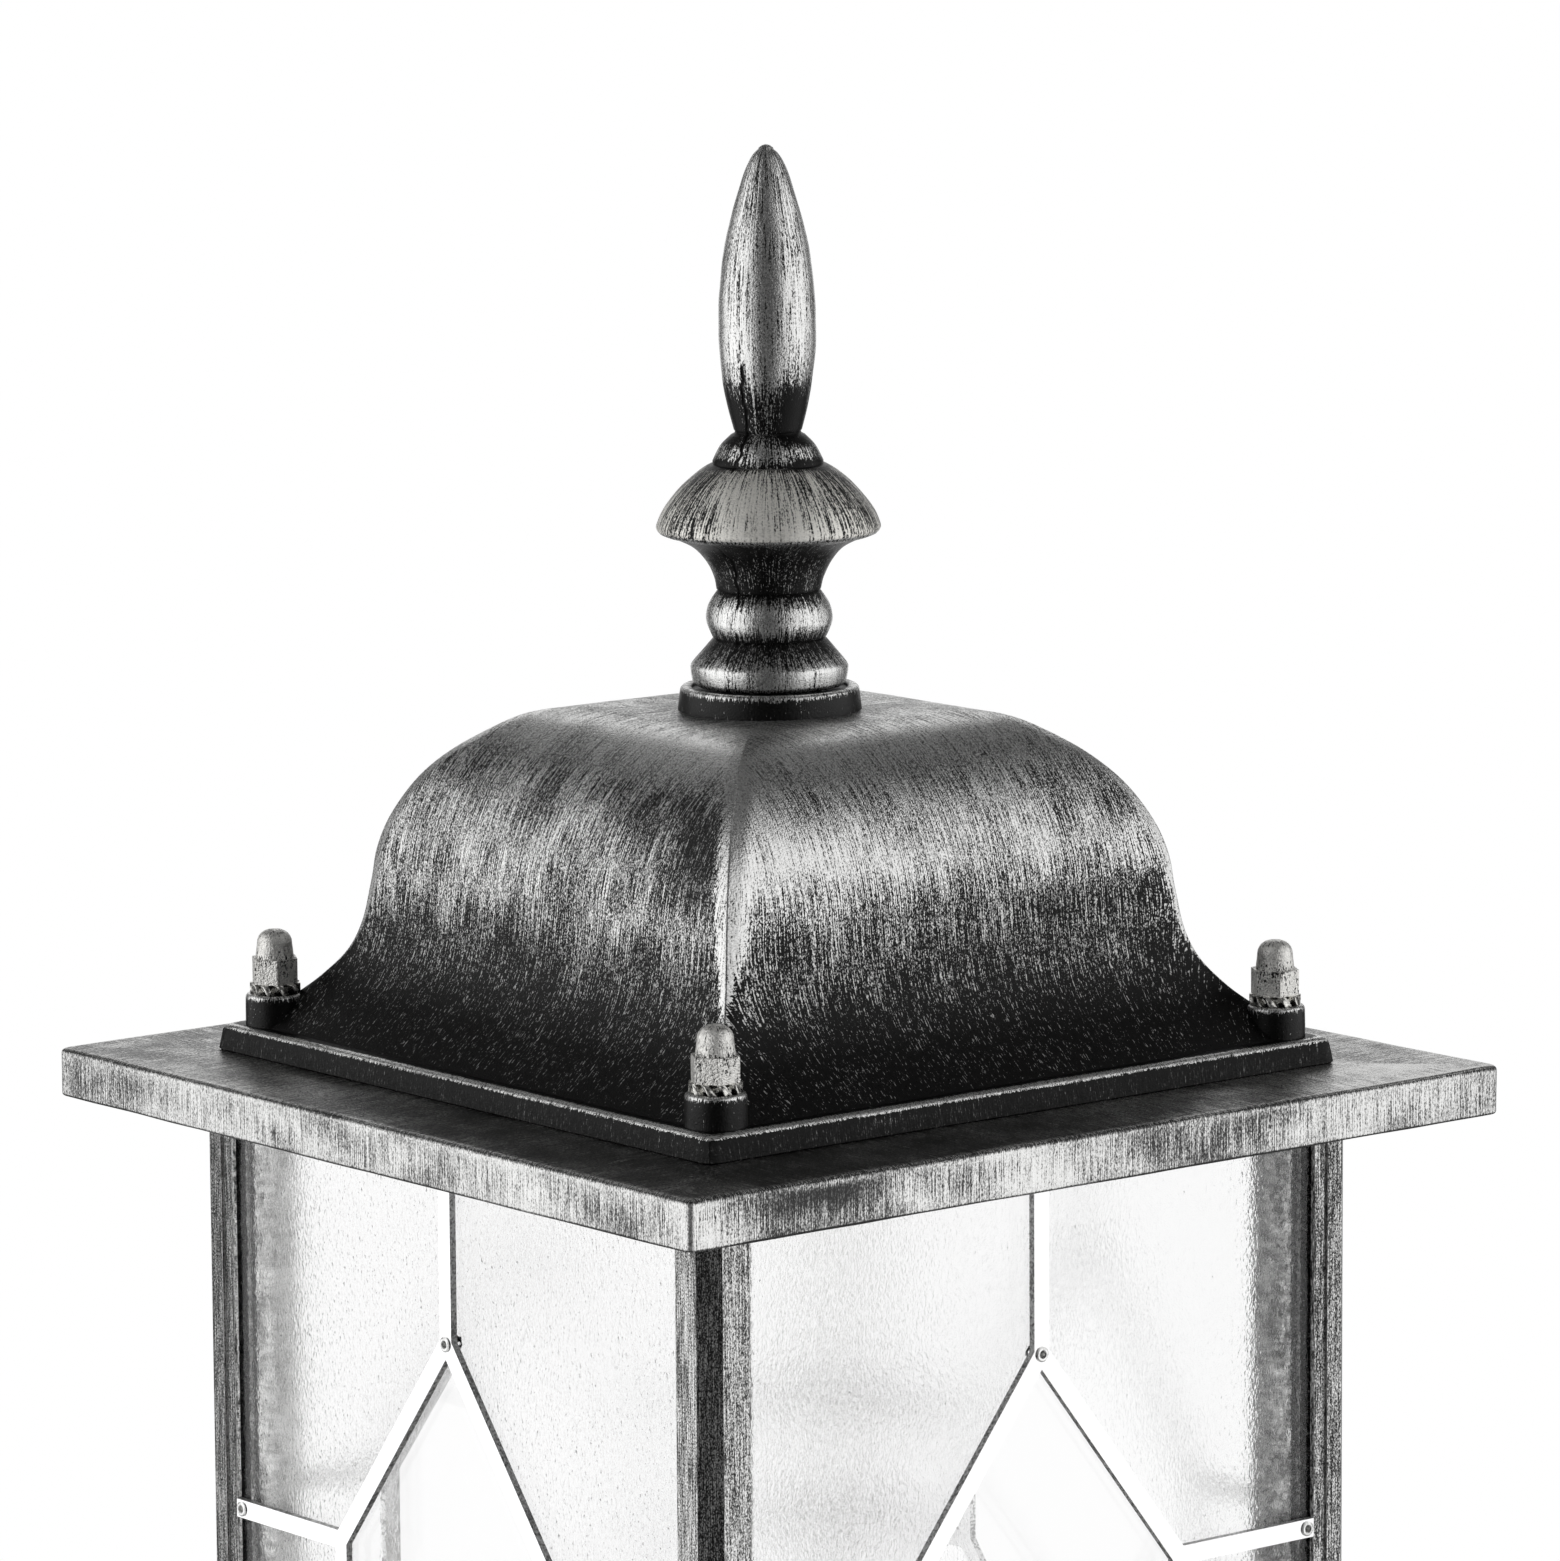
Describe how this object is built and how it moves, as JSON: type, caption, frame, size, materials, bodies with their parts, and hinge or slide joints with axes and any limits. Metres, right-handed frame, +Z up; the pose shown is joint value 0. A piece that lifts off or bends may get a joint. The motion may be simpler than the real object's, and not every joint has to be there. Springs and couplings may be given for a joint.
{
  "type": "outdoor wall light",
  "caption": "Four-sided wall lantern with an ogee roof, turned finial and glass windows with came lattices, standing on a short bent arm from a wall plate.",
  "frame": {"origin": "centre of the wall plate on the wall's surface", "axes": "+Y into the wall, -Y the way the light stands out, +Z up, +X across the wall plate to the right of someone who faces the wall"},
  "size_m": [0.19, 0.26, 0.4759],
  "materials": {
    "patina_black": "black satin coat on cast metal, rubbed back to silver along edges and in fine strokes",
    "patina_silver": "rubbed silver metal with fine dark scratches",
    "came_metal": "mirror-bright flat came strips, darker on their side walls",
    "plated_steel": "plain zinc-plated steel",
    "bright_nut": "bright plated, darkened in the corners",
    "ripple_glass": "clear glass with a fine wavy ripple, smooth inside the hexagon",
    "gasket_rubber": "dark flat rubber",
    "porcelain": "white glazed porcelain",
    "contact_brass": "plain brass",
    "terminal_plastic": "off-white moulded plastic",
    "lead_sheath": "black flexible sheath"
  },
  "bodies": {
    "root": {"finial": "patina_silver", "finial_stud": "plated_steel", "finial_washer": "plated_steel", "finial_nut": "plated_steel", "bell_roof": "patina_black", "roof_plate": "patina_silver", "roof_gasket": "gasket_rubber", "roof_studs": "plated_steel", "lock_washers": "bright_nut", "cap_nuts": "bright_nut", "cage": "patina_black", "came_front": "came_metal", "came_right": "came_metal", "came_back": "came_metal", "came_left": "came_metal", "pane_front": "ripple_glass", "pane_right": "ripple_glass", "pane_back": "ripple_glass", "pane_left": "ripple_glass", "came_rivets": "came_metal", "base_plate": "patina_black", "base_screws": "plated_steel", "nipple": "plated_steel", "nipple_nuts": "plated_steel", "nipple_washer": "plated_steel", "lampholder_body": "porcelain", "screw_shell": "contact_brass", "centre_contact": "contact_brass", "arm": "patina_black", "arm_screws": "plated_steel", "wall_plate": "patina_black", "wall_gasket": "gasket_rubber", "mounting_bar": "plated_steel", "bar_studs": "plated_steel", "bar_washers": "plated_steel", "bar_cap_nuts": "bright_nut", "terminal_block": "terminal_plastic", "terminal_tubes": "contact_brass", "terminal_screws": "plated_steel", "earth_screw": "plated_steel", "inner_lead": "lead_sheath"}
  },
  "joints": []
}
